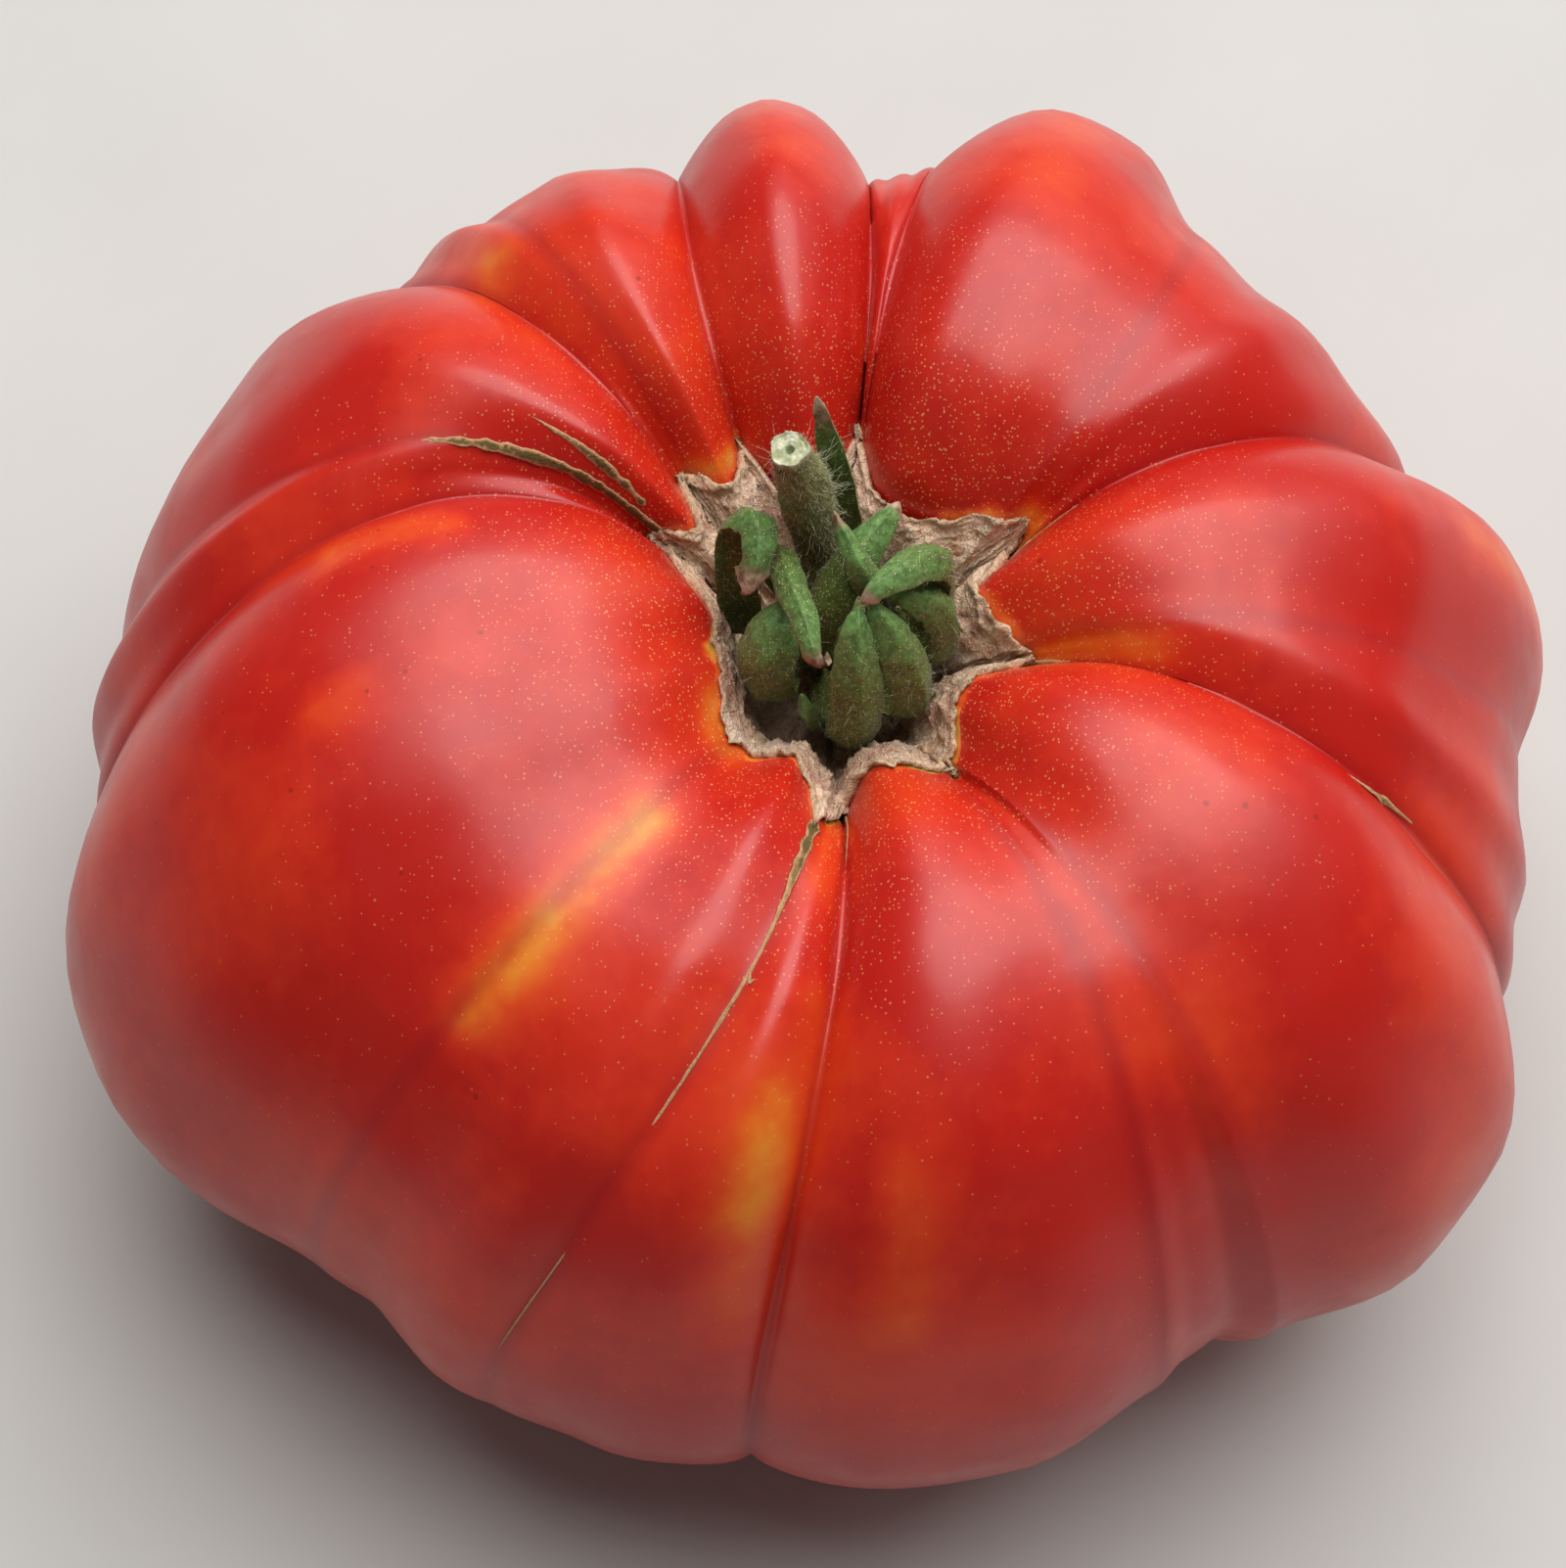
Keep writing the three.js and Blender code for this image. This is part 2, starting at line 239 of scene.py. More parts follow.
def skin_point(place, station):
    """Points of the skin, in mm, at places counted in lobes and stations counted from the top."""
    place, station = np.broadcast_arrays(np.asarray(place, float) % LOBES, station)
    left = place.astype(int) % LOBES
    across = place - left
    section, run = along_section(np.asarray(station, float))
    radius, height = section[..., 0], section[..., 1]
    start, end = furrow_angle(left, station), furrow_angle(left + 1, station)
    angle = start + (end - start) * across

    # the lobe's own two furrows and the next ones out lower the skin, the nearest most
    powers = 0
    for number in (left - 1, left, left + 1, left + 2):
        furrow = number % LOBES
        away = np.radians(np.abs(angle - furrow_angle(number, station))) * np.maximum(radius, 6)
        slope = FURROWS[furrow, 5] * np.clip(radius / FULL_SPREAD_RADIUS, 0.2, 1)
        drop = furrow_depth(furrow, station) * furrow_shape(away / slope, FURROWS[furrow, 6])
        powers = powers + drop**4
    drop = powers**0.25

    neighbour = np.where(across < 0.5, left - 1, left + 1) % LOBES
    share = smoothstep(np.where(across < 0.5, 2 * across, 2 - 2 * across), 0, 0.7)
    reach = (REACH[left] + REACH[neighbour]) / 2 * (1 - share) + REACH[left] * share
    lean = (LEAN[left] + LEAN[neighbour]) / 2 * (1 - share) + LEAN[left] * share
    widen = 1 + (reach / MIDDLE_RADIUS - 1) * smoothstep(station, 3, 8)
    lean = lean * np.interp(station, [1, 2, 3, 4, 6, 8], [0, 0.5, 1, 0.8, 0.2, 0])
    out = np.maximum(radius * widen + lean + drop * run[..., 1], 0)
    angle = np.radians(angle)
    up = np.maximum(height - drop * run[..., 0], 0)
    return np.stack([out * np.cos(angle), out * np.sin(angle), up], -1)


def skin_normal(place, station):
    step = 0.004
    around = skin_point(place + step, station) - skin_point(place - step, station)
    along = skin_point(place, station + step) - skin_point(place, station - step)
    normal = np.cross(along, around)
    return normal / (np.linalg.norm(normal, axis=-1, keepdims=True) + 1e-9)


# %% [markdown]
# ## The skin
# The skin starts as a fine sphere. Each of its columns is given a place round the fruit and each
# of its rows a station, and its points move there. Columns crowd together at the furrows and
# rows over the hollow and the sides, where the shape turns fastest. A slow unevenness of about
# half a millimetre keeps the reflections from looking machined.

# %% Unevenness and distances
def uneven(points, size, seed=0.0):
    """A smooth value from -1 to 1 at each point, that changes over about that size."""
    where = (points / size + seed * np.array([1, 2, 3])).tolist()
    return np.array([noise.noise(point) for point in where])


def distance_to_line(points, line):
    """How far each point is from a line of straight pieces."""
    nearest = np.full(len(points), 1e9)
    for start, end in zip(line[:-1], line[1:]):
        piece = end - start
        share = np.clip((points - start) @ piece / (piece @ piece + 1e-9), 0, 1)
        foot = start + share[:, None] * piece
        nearest = np.minimum(nearest, np.linalg.norm(points - foot, axis=1))
    return nearest


def skin_line(places, count=24):
    """Points of the skin along a list of (place, station)."""
    places = np.array(places, float)
    steps = np.linspace(0, len(places) - 1, count)
    index = np.arange(len(places))
    place = np.interp(steps, index, places[:, 0])
    station = np.interp(steps, index, places[:, 1])
    return skin_point(place, station)


# %% Where the cork ends
CORK_EDGE = np.array([
    [0, 3.1], [0.5, 2.95], [1, 2.6], [1.5, 2.95], [2, 3.0], [2.5, 2.5], [2.9, 2.6], [3, 3.0],
    [3.5, 3.15], [4, 3.0], [4.15, 2.5], [4.5, 2.1], [4.85, 2.4], [5, 3.0], [5.2, 2.7],
    [5.5, 2.7], [6, 2.9], [6.5, 2.85], [7, 3.0], [7.5, 2.8], [8, 2.9], [8.5, 2.75], [9, 2.8],
    [9.25, 2.8], [9.5, 3.0], [10, 3.1], [10.5, 3.0], [10.9, 3.1], [11, 3.5], [11.15, 3.2],
    [11.5, 3.05], [12, 2.5], [12.5, 3.1], [13, 3.0], [13.5, 3.0], [14, 3.05], [14.5, 3.0],
    [15, 3.1], [15.5, 3.1], [16, 3.1],
])
MM_PER_STATION = 9.5  # near the lip of the hollow


def cork_edge(place):
    return np.interp(place, CORK_EDGE[:, 0], CORK_EDGE[:, 1])


print("the cork ends at stations", CORK_EDGE[:, 1].min(), "to", CORK_EDGE[:, 1].max())

# %% The skin's shape
COLUMNS_PER_LOBE = 25
COLUMNS = COLUMNS_PER_LOBE * LOBES
ROWS = 240
CROWDING = 0.6  # how much the columns crowd towards the furrows
skin, column, row = polar_grid("skin", COLUMNS, ROWS)
lobe_share = column / COLUMNS_PER_LOBE % 1
crowd = CROWDING * np.sin(2 * math.pi * lobe_share) / (2 * math.pi)
skin_place = column / COLUMNS_PER_LOBE - crowd
skin_station = np.interp(row / ROWS, [0, 1 / 3, 2 / 3, 1], [0, 4, 8, 14])
skin_mm = skin_point(skin_place, skin_station)
swell = uneven(skin_mm, 17) * 0.55 + uneven(skin_mm, 7, 5.0) * 0.11
swell *= smoothstep(skin_station, 2.5, 4.5) * smoothstep(skin_mm[:, 2], 0.5, 6)
skin_mm += skin_normal(skin_place, skin_station) * swell[:, None]
place_points(skin, skin_mm)

# %% [markdown]
# ## What the skin's paint needs to know
# The paint is a material made of nodes, so it has to be told where things are. Each point keeps
# its station, how far it is from the edge of the cork and from the nearest furrow, and how
# unripe it is. The unripe streaks are soft bands along short lines on the skin.

# %% The skin's attributes
UNRIPE = [
    # line of (place, station), half width in mm, strength
    ([(10.04, 4.2), (10.06, 4.9), (10.05, 5.7)], 2.6, 0.75),
    ([(10.1, 4.5), (10.12, 5.2)], 1.6, 0.5),
    ([(11.75, 5.5), (11.75, 6.2)], 3.0, 0.55),
    ([(11.85, 4.9), (11.8, 6.6)], 2.5, 0.3),
    ([(12.3, 5.9), (12.32, 6.7)], 2.5, 0.3),
    ([(6.65, 5.7), (6.62, 6.0)], 3.2, 0.6),
    ([(9.1, 4.7), (9.08, 5.3)], 2.2, 0.55),
    ([(9.42, 5.2), (9.42, 5.4)], 2.0, 0.4),
    ([(4.4, 5.3), (4.5, 6.6)], 4.0, 0.3),
    ([(2.6, 5.4), (2.5, 6.4)], 4.5, 0.25),
    ([(0.55, 6.6), (0.5, 7.4)], 3.0, 0.45),
    ([(15.5, 3.1), (15.5, 4.2)], 2.0, 0.5),
    ([(11.5, 3.1), (11.5, 3.9)], 2.0, 0.35),
    ([(12.4, 3.2), (12.5, 3.6)], 4.0, 0.2),
    ([(1.0, 2.8), (1.5, 3.0)], 1.6, 0.8),
    ([(6.1, 2.95), (5.3, 2.9)], 1.3, 0.8),
    ([(10.0, 3.2), (9.8, 3.1)], 1.6, 0.7),
]
unripe = np.zeros(len(skin_mm))
for places, half_width, strength in UNRIPE:
    away = distance_to_line(skin_mm, skin_line(places))
    unripe = np.maximum(unripe, strength * np.exp(-((away / half_width) ** 2)))
store(skin, "unripe", unripe)
store(skin, "station", skin_station)
beyond_cork = (skin_station - cork_edge(skin_place % LOBES)) * MM_PER_STATION
store(skin, "beyond_cork", np.clip(beyond_cork, -20, 20))
left = (skin_place % LOBES).astype(int)
across = skin_place % LOBES - left
nearest_furrow = np.where(across < 0.5, left, (left + 1) % LOBES)
from_furrow = np.linalg.norm(skin_mm - skin_point(nearest_furrow, skin_station), axis=1)
store(skin, "from_furrow", np.clip(from_furrow, 0, 30))
print("unripe up to", round(float(unripe.max()), 2))

# %% [markdown]
# ## Painting with nodes
# Each finish is a Principled shader fed by noise, dots and the numbers stored on the points. The
# class below only shortens the typing: every method adds one or two nodes and hands back a
# socket to plug into the next.

# %% A painter for node materials
class Painter:
    def __init__(self, name):
        self.material = bpy.data.materials.new(name)
        self.material.use_nodes = True
        self.tree = self.material.node_tree
        self.shader = self.tree.nodes["Principled BSDF"]
        self.place = self.node("ShaderNodeTexCoord").outputs["Object"]

    def node(self, kind, inputs=(), **settings):
        node = self.tree.nodes.new(kind)
        for key, value in settings.items():
            setattr(node, key, value)
        for key, value in dict(inputs).items():
            self.plug(value, node.inputs[key])
        return node

    def plug(self, value, socket):
        if isinstance(value, bpy.types.NodeSocket):
            self.tree.links.new(value, socket)
        else:
            socket.default_value = value

    def stored(self, name, output="Fac"):
        return self.node("ShaderNodeAttribute", attribute_name=name).outputs[output]

    def maths(self, operation, a, b=0.0, c=0.0):
        inputs = {0: a, 1: b, 2: c}
        return self.node("ShaderNodeMath", inputs, operation=operation).outputs[0]

    def spread(self, value, low, high, to_low=0.0, to_high=1.0):
        names = ("Value", "From Min", "From Max", "To Min", "To Max")
        inputs = dict(zip(names, (value, low, high, to_low, to_high)))
        node = self.node("ShaderNodeMapRange", inputs, interpolation_type="SMOOTHSTEP")
        return node.outputs["Result"]

    def clouds(self, scale, detail=3.0, roughness=0.5, place=None, stretch=None):
        place = self.place if place is None else place
        if stretch is not None:
            inputs = {"Vector": place, "Scale": stretch}
            place = self.node("ShaderNodeMapping", inputs).outputs["Vector"]
        inputs = {"Vector": place, "Scale": scale, "Detail": detail, "Roughness": roughness}
        return self.node("ShaderNodeTexNoise", inputs).outputs["Fac"]

    def dots(self, scale, size, share, place=None):
        """Round dots in a share of the cells of a Voronoi pattern, 1 inside and 0 outside."""
        place = self.place if place is None else place
        cells = self.node("ShaderNodeTexVoronoi", {"Vector": place, "Scale": scale})
        inputs = {"Vector": cells.outputs["Color"]}
        chance = self.node("ShaderNodeSeparateXYZ", inputs).outputs
        radius = self.maths("MULTIPLY_ADD", chance["Y"], size * 0.6, size * 0.6)
        round_dot = self.maths("LESS_THAN", cells.outputs["Distance"], radius)
        chosen = self.maths("LESS_THAN", chance["X"], share)
        return self.maths("MULTIPLY", round_dot, chosen)

    def ramp(self, value, *stops):
        node = self.node("ShaderNodeValToRGB", {"Fac": value})
        elements = node.color_ramp.elements
        while len(elements) < len(stops):
            elements.new(1.0)
        for element, (position, colour) in zip(elements, stops):
            element.position = position
            element.color = (*colour, 1)
        return node.outputs["Color"]

    def blend(self, share, a, b):
        node = self.node("ShaderNodeMix", data_type="RGBA", clamp_factor=True)
        for value, number in ((share, 0), (a, 6), (b, 7)):
            value = (*value, 1) if isinstance(value, tuple) and len(value) == 3 else value
            self.plug(value, node.inputs[number])
        return node.outputs[2]

    def bump(self, height, strength, distance, under=None):
        inputs = {"Height": height, "Strength": strength, "Distance": distance}
        if under is not None:
            inputs["Normal"] = under
        return self.node("ShaderNodeBump", inputs).outputs["Normal"]

    def finish(self, **inputs):
        for name, value in inputs.items():
            self.plug(value, self.shader.inputs[name.replace("_", " ")])
        print("material", self.material.name, "with", len(self.tree.nodes), "nodes")
        return self.material


# %% [markdown]
# ## Tomato skin
# Ripe skin is a clear waxy film over red flesh, so light goes in a little way and comes back
# redder: that is subsurface scattering. The wax gives a soft wide gloss. Round the hollow it is
# sprinkled with fine golden dots, and it turns yellow and green where it meets the cork. Along
# its furrows it is painted darker, as shade in the creases.

# %% Skin material
paint = Painter("tomato skin")
station = paint.stored("station")
mottle = paint.clouds(70, 4, 0.55)
fine_mottle = paint.clouds(420, 3, 0.6)
rim_width = paint.spread(paint.clouds(170, 4), 0.42, 0.72, 0.25, 2.2)
rim_strength = paint.spread(paint.clouds(230, 3), 0.48, 0.68, 0.33, 0.85)
rim = paint.spread(paint.stored("beyond_cork"), 0.0, rim_width, rim_strength, 0.0)
patchy = paint.spread(paint.clouds(110, 5, 0.6), 0.25, 0.75, 0.25, 1.0)
ripeness = paint.maths("MULTIPLY", paint.stored("unripe"), patchy)
ripeness = paint.maths("MAXIMUM", ripeness, rim)
ripeness = paint.maths("MULTIPLY_ADD", paint.maths("SUBTRACT", mottle, 0.5), 0.35, ripeness)
broad = paint.spread(paint.clouds(32, 2), 0.4, 0.7, 0.0, 0.14)
ripeness = paint.maths("ADD", ripeness, broad)
ripeness = paint.maths("MULTIPLY_ADD", paint.maths("SUBTRACT", fine_mottle, 0.5), 0.16, ripeness)
red = paint.ramp(
    ripeness,
    (0.0, (0.50, 0.012, 0.006)),
    (0.12, (0.62, 0.028, 0.008)),
    (0.28, (0.70, 0.062, 0.010)),
    (0.5, (0.76, 0.15, 0.014)),
    (0.75, (0.76, 0.30, 0.03)),
    (0.95, (0.33, 0.30, 0.035)),
)
# painted shade: within about 1.6 mm of each furrow's line the red is darkened towards deep
# crimson, as shade in the crease
furrow_painted_shade = paint.spread(paint.stored("from_furrow"), 0.1, 1.6, 0.4, 0.0)
red = paint.blend(furrow_painted_shade, red, (0.33, 0.006, 0.008))
golden = paint.dots(2800, 0.24, paint.spread(station, 2.5, 6.2, 1.0, 0.04))
larger = paint.dots(1500, 0.15, paint.spread(station, 2.5, 5.6, 0.4, 0.03))
golden = paint.maths("MAXIMUM", golden, larger)
dot_strength = paint.maths("MULTIPLY", golden, paint.spread(station, 2.6, 7.0, 0.55, 0.25))
red = paint.blend(dot_strength, red, (0.85, 0.40, 0.16))
dark_dots = paint.dots(330, 0.08, 0.12)
red = paint.blend(paint.maths("MULTIPLY", dark_dots, 0.5), red, (0.16, 0.01, 0.005))
relief = paint.bump(golden, 0.25, 0.0001)
relief = paint.bump(paint.clouds(900, 2), 0.06, 0.0002, relief)
skin_paint = paint.finish(
    Base_Color=red,
    Roughness=paint.spread(paint.clouds(150, 4), 0.3, 0.75, 0.29, 0.42),
    Specular_IOR_Level=0.42,
    Subsurface_Weight=0.15,
    Subsurface_Radius=(1.0, 0.2, 0.1),
    Subsurface_Scale=0.004,
    Coat_Weight=0.08,
    Coat_Roughness=0.2,
    Normal=relief,
)
finish_piece(skin, skin_paint, "skin", "fruit")

# %% [markdown]
# ## The cork in the hollow
# Where the skin stopped growing round the stem, the fruit healed with cork: a fibrous brown
# lining whose torn edge stands a little proud and runs out to points in the furrows. It is made
# like the skin, from a sphere whose upper rows become the lining and lower rows its underside.

# %% The cork's shape
def store_weave(piece, weave):
    """Keeps where each point lies among the cork's fibres, as three numbers."""
    for axis, values in zip("xyz", np.transpose(weave)):
        store(piece, "weave_" + axis, values)


CORK_COLUMNS_PER_LOBE = 36
CORK_COLUMNS = CORK_COLUMNS_PER_LOBE * LOBES
CORK_ROWS = 100
CORK_TOP = 78  # rows from the middle of the floor to the torn edge
cork, column, row = polar_grid("cork_lining", CORK_COLUMNS, CORK_ROWS)
place = column / CORK_COLUMNS_PER_LOBE
share = np.where(row <= CORK_TOP, row / CORK_TOP, (CORK_ROWS - row) / (CORK_ROWS - CORK_TOP))
turn = place * math.pi / (LOBES / 2)
ring = np.stack([np.cos(turn), np.sin(turn), 0 * place], -1)
lip_ring = ring * 30  # a circle of 30 mm, for the noise that runs round the lip
torn = uneven(lip_ring, 0.9, 1.0) * 0.6 + uneven(lip_ring, 0.35, 2.0) * 0.45
edge = cork_edge(place) + torn / MM_PER_STATION
station_there = edge * share**0.8
cork_mm = skin_point(place, station_there)
outward = skin_normal(place, station_there)
from_edge = (edge - station_there) * MM_PER_STATION
curl = np.clip(uneven(lip_ring, 1.6, 3.0) * 0.9 + 0.35, 0, 1)
lip = np.exp(-((from_edge / 0.9) ** 2)) * curl * 0.55
weave = np.stack([ring[:, 0] * 9, ring[:, 1] * 9, station_there * 1.3], -1)
fibres = uneven(weave, 0.35, 4.0) * 0.22 + uneven(weave, 0.12, 5.0) * 0.12
crumple = uneven(cork_mm, 2.2, 6.0) * 0.3
web = np.clip(1 - 7 * np.abs(uneven(weave, 0.9, 7.0)), 0, 1) * 0.35
web += np.clip(1 - 6 * np.abs(uneven(weave, 0.45, 8.0)), 0, 1) * 0.22
top = 0.28 + lip + (fibres + crumple + web) * smoothstep(from_edge, -0.1, 0.8)
bottom = np.where(from_edge < 0.8, top - 0.22, -0.3)
cork_mm += outward * np.where(row <= CORK_TOP, top, np.minimum(bottom, top - 0.2))[:, None]
cork_mm[:, 2] += 3.2 * np.exp(-(((station_there - 2.1) / 0.5) ** 2))  # a puffed ledge
place_points(cork, cork_mm)
store(cork, "from_edge", from_edge)
store(cork, "web", web)
store_weave(cork, weave)

# %% Cork material
paint = Painter("cork")
names = {"X": "weave_x", "Y": "weave_y", "Z": "weave_z"}
inputs = {axis: paint.stored(name) for axis, name in names.items()}
weave_place = paint.node("ShaderNodeCombineXYZ", inputs).outputs["Vector"]
strands = paint.clouds(3.2, 7, 0.72, weave_place)
cracks = paint.clouds(900, 5, 0.7)
tone = paint.maths("MULTIPLY_ADD", cracks, 0.5, paint.maths("MULTIPLY", strands, 0.6))
bent = paint.clouds(3.0, 3, 0.6, weave_place)
inputs = {"X": bent, "Y": bent, "Z": paint.maths("MULTIPLY", bent, 0.5)}
bent = paint.node("ShaderNodeCombineXYZ", inputs).outputs["Vector"]
inputs = {0: weave_place, 1: bent}
bent = paint.node("ShaderNodeVectorMath", inputs, operation="ADD").outputs["Vector"]
inputs = {"Vector": bent, "Scale": 2.4}
flakes = paint.node("ShaderNodeTexVoronoi", inputs, feature="DISTANCE_TO_EDGE")
flake_rims = paint.spread(flakes.outputs["Distance"], 0.0, 0.09, 0.8, 0.0)
tone = paint.maths("MULTIPLY_ADD", paint.clouds(2300, 3, 0.7), 0.35, tone)
tone = paint.maths("SUBTRACT", tone, 0.175)
brown = paint.ramp(
    tone,
    (0.38, (0.20, 0.090, 0.050)),
    (0.46, (0.50, 0.250, 0.140)),
    (0.55, (0.76, 0.480, 0.300)),
    (0.66, (0.94, 0.720, 0.550)),
)
flush = paint.spread(paint.clouds(190, 4, 0.6), 0.50, 0.60, 0.0, 0.6)
brown = paint.blend(flush, brown, (0.52, 0.15, 0.12))
pale = paint.spread(paint.clouds(150, 4, 0.65), 0.51, 0.63, 0.0, 0.75)
brown = paint.blend(pale, brown, (0.94, 0.70, 0.58))
threads = paint.clouds(2.2, 3, 0.6, weave_place)
threads = paint.maths("ABSOLUTE", paint.maths("SUBTRACT", threads, 0.5))
threads = paint.spread(threads, 0.0, 0.022, 0.6, 0.0)
threads = paint.maths("MAXIMUM", threads, flake_rims)
raised = paint.maths("MAXIMUM", threads, paint.maths("MULTIPLY", paint.stored("web"), 1.7))
brown = paint.blend(raised, brown, (0.92, 0.70, 0.48))
tone = paint.maths("MULTIPLY_ADD", threads, 0.25, tone)
pale_edge = paint.spread(paint.stored("from_edge"), 0.1, 1.3, 0.45, 0.0)
brown = paint.blend(pale_edge, brown, (0.64, 0.44, 0.25))
cork_paint = paint.finish(
    Base_Color=brown,
    Roughness=0.85,
    Specular_IOR_Level=0.25,
    Normal=paint.bump(tone, 0.9, 0.0008),
)
finish_piece(cork, cork_paint, "stem")

# %% [markdown]
# ## Pieces that follow a path
# Cracks, sepals and the stem are all long shapes bent along a line. A smooth curve goes through
# a few points, and at each step along it two directions say where the width and the thickness
# point. A sphere is then drawn out along the curve, so both ends are closed.

# %% A smooth path with its directions
def smooth_path(points, steps):
    """Evenly spaced points of a smooth curve through the given ones, and how it runs there."""
    points = np.array(points, float)
    last = len(points) - 1
    curve, _ = curve_through(points, np.linspace(0, last, 40 * last + 1))
    lengths = np.linalg.norm(np.diff(curve, axis=0), axis=1)
    gone = np.concatenate([[0], np.cumsum(lengths)])
    at = np.linspace(0, gone[-1], steps)
    curve = np.stack([np.interp(at, gone, curve[:, axis]) for axis in range(3)], -1)
    run = np.gradient(curve, axis=0)
    return curve, run / np.linalg.norm(run, axis=1, keepdims=True), gone[-1]


def level(degrees):
    return np.array([math.cos(math.radians(degrees)), math.sin(math.radians(degrees)), 0.0])


def across_path(run, side):
    """The direction nearest to side that stands square to the path, at each step."""
    side = side - (run @ side)[:, None] * run
    return side / np.linalg.norm(side, axis=1, keepdims=True)


# %% [markdown]
# ## Cracks
# Dry cork lines run out from the hollow along some furrows, where the growing skin split and
# healed. Each is a thin strip that lies half in the skin, with ragged edges. Points of a strip
# that fall on the same place are merged, so no face is left without area.

# %% Crack shapes
CRACK_COLUMNS = 10
CRACK_ROWS = 90
SAME_POINT = 1e-7  # metres: points closer than this are merged
CRACKS = [
    # line of (place, station), half widths in mm along it
    ([(11, 3.3), (10.99, 3.9), (11, 4.6), (11, 5.4), (11.01, 6.4), (10.98, 7.6)],
     [0.7, 0.16, 0.13, 0.15, 0.07, 0.10]),
    ([(11.0, 4.78), (11.06, 4.84), (11.1, 4.80)], [0.12, 0.14, 0.05]),
    ([(8.05, 2.8), (8.1, 3.4), (8.08, 4.0), (8.04, 4.6), (8.0, 5.1)],
     [0.7, 0.5, 0.55, 0.45, 0.06]),
    ([(7.88, 3.2), (7.8, 3.8), (7.72, 4.4)], [0.35, 0.42, 0.05]),
    ([(15.0, 3.0), (15.02, 3.4), (15.0, 3.8)], [0.4, 0.14, 0.04]),
    ([(12.02, 2.5), (12.03, 3.1), (12.0, 3.6)], [0.3, 0.12, 0.04]),
    ([(0.98, 2.6), (1.0, 3.1), (1.0, 3.6)], [0.5, 0.2, 0.05]),
    ([(14.98, 5.7), (15.0, 6.0), (15.03, 6.3)], [0.06, 0.3, 0.06]),
]


def crack(name, places, half_widths):
    piece, column, row = polar_grid(name, CRACK_COLUMNS, CRACK_ROWS)
    row = row.astype(int)
    curve = skin_line(places, 200)
    curve, run, length = smooth_path(curve[::8], CRACK_ROWS + 1)
    steps = np.linspace(0, 1, CRACK_ROWS + 1)
    anchors = np.linspace(0, 1, len(places))
    place = np.interp(steps, anchors, [p[0] for p in places])
    station = np.interp(steps, anchors, [p[1] for p in places])
    up = skin_normal(place, station)
    side = np.cross(run, up)
    side /= np.linalg.norm(side, axis=1, keepdims=True)
    wander = uneven(curve, 1.1, 7.0)[:, None] * 0.25
    half = np.interp(steps, anchors, half_widths)
    half *= 1 + 0.5 * uneven(curve, 1.2, 8.0) + 0.25 * uneven(curve, 0.5, 9.0)
    half *= np.sqrt(np.clip(4 * steps * (1 - steps) * 8, 0, 1))
    turn = column / CRACK_COLUMNS * 2 * math.pi
    breadth = half[row] * np.cos(turn)
    height = np.minimum(0.12, 0.45 * half[row]) * np.sin(turn) + 0.01
    height += 0.06 * uneven(curve[row] + 3 * breadth[:, None], 0.3, 10.0) * (np.sin(turn) > 0)
    centre = curve + side * wander * np.minimum(half, 0.4)[:, None]
    points = centre[row] + side[row] * breadth[:, None] + up[row] * height[:, None]
    place_points(piece, points)
    store(piece, "from_edge", np.abs(half[row] - np.abs(breadth)) + 0.3)
    store_weave(piece, np.stack([breadth * 4, steps[row] * length * 0.5, height], -1))
    return piece


cracks = [crack(f"crack_{i}", *facts) for i, facts in enumerate(CRACKS)]
deselect_all()
for piece in cracks:
    piece.select_set(True)
bpy.context.view_layer.objects.active = cracks[0]
bpy.ops.object.join()
cork_cracks = bpy.context.object
cork_cracks.name = cork_cracks.data.name = "cork_cracks"
deselect_all()
cork_cracks.select_set(True)
bpy.ops.object.mode_set(mode="EDIT")
bpy.ops.mesh.select_all(action="SELECT")
bpy.ops.mesh.remove_doubles(threshold=SAME_POINT)
bpy.ops.mesh.normals_make_consistent(inside=False)
bpy.ops.object.mode_set(mode="OBJECT")

paint = Painter("healed cracks")
depth_in = paint.maths("MULTIPLY_ADD", paint.clouds(1300, 4, 0.7), 0.5, paint.stored("from_edge"))
tan = paint.ramp(
    depth_in,
    (0.45, (0.60, 0.36, 0.20)),
    (0.66, (0.50, 0.28, 0.13)),
    (0.84, (0.13, 0.085, 0.025)),
)
crack_paint = paint.finish(
    Base_Color=tan,
    Roughness=0.8,
    Specular_IOR_Level=0.3,
    Normal=paint.bump(paint.clouds(1800, 4, 0.7), 0.7, 0.0004),
)
finish_piece(cork_cracks, crack_paint, "stem")

# %% [markdown]
# ## The blossom scar
# Underneath, where the flower fell off, the fruit has a small ragged disc of the same cork.

# %% Blossom scar
SCAR_COLUMNS = 48
SCAR_ROWS = 20
SCAR_TOP = 14  # rows from its middle to its edge
blossom_scar, column, row = polar_grid("blossom_scar", SCAR_COLUMNS, SCAR_ROWS)
share = np.where(row <= SCAR_TOP, row / SCAR_TOP, (SCAR_ROWS - row) / (SCAR_ROWS - SCAR_TOP))
turn = column * math.pi / (SCAR_COLUMNS / 2)
scar_place = -column / (SCAR_COLUMNS / LOBES)
ring = np.stack([np.cos(turn), np.sin(turn), 0 * row], -1)
station_there = 14 - share * (0.55 + 0.12 * uneven(ring * 4, 0.8, 1.0))
scar_mm = skin_point(scar_place, station_there)
lift = 0.25 + 0.2 * uneven(scar_mm, 0.8, 2.0) - 0.15 * share
outward = skin_normal(scar_place, np.minimum(station_there, 13.9))
scar_mm += outward * np.where(row <= SCAR_TOP, lift, -0.3)[:, None]
place_points(blossom_scar, scar_mm)
